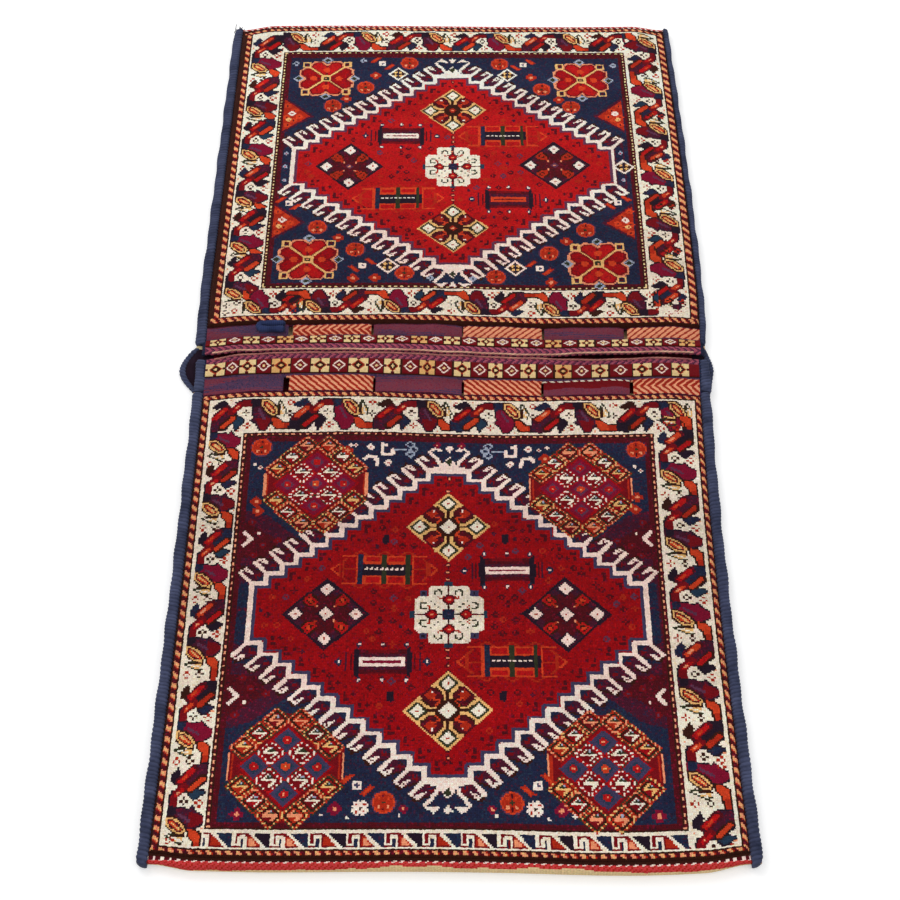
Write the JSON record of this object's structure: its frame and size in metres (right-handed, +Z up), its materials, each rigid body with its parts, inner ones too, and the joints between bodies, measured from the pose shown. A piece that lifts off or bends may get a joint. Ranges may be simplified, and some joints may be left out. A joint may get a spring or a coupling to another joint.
{
  "type": "saddle bag",
  "caption": "Flat folded tribal saddle bag of hand-woven wool: two knotted-pile pockets face up with their mouths meeting over a short woven bridge.",
  "frame": {"origin": "under the middle of the bag's outline, on the floor it lies on", "axes": "+Z up from the floor to the pile faces, +Y from the front pocket towards the rear pocket, +X across the bag to the right seen from the front pocket"},
  "size_m": [0.6293, 1.2414, 0.023],
  "materials": {
    "cloth": "knotted wool pile in madder red, navy, cream and gold, with flat-woven bands",
    "binding": "overcast navy wool",
    "cord": "thin twisted wool cord",
    "loop": "blue wrapped wool"
  },
  "bodies": {
    "root": {"woven_strip": "cloth", "rear_left_seam_binding": "binding", "rear_right_seam_binding": "binding", "front_left_seam_binding": "binding", "front_right_seam_binding": "binding", "front_left_mouth_selvedge": "binding", "front_right_mouth_selvedge": "binding", "bridge_left_selvedge": "binding", "bridge_right_selvedge": "binding", "rear_mouth_cord": "cord", "front_mouth_cord": "cord", "closure_loop": "loop"}
  },
  "joints": []
}
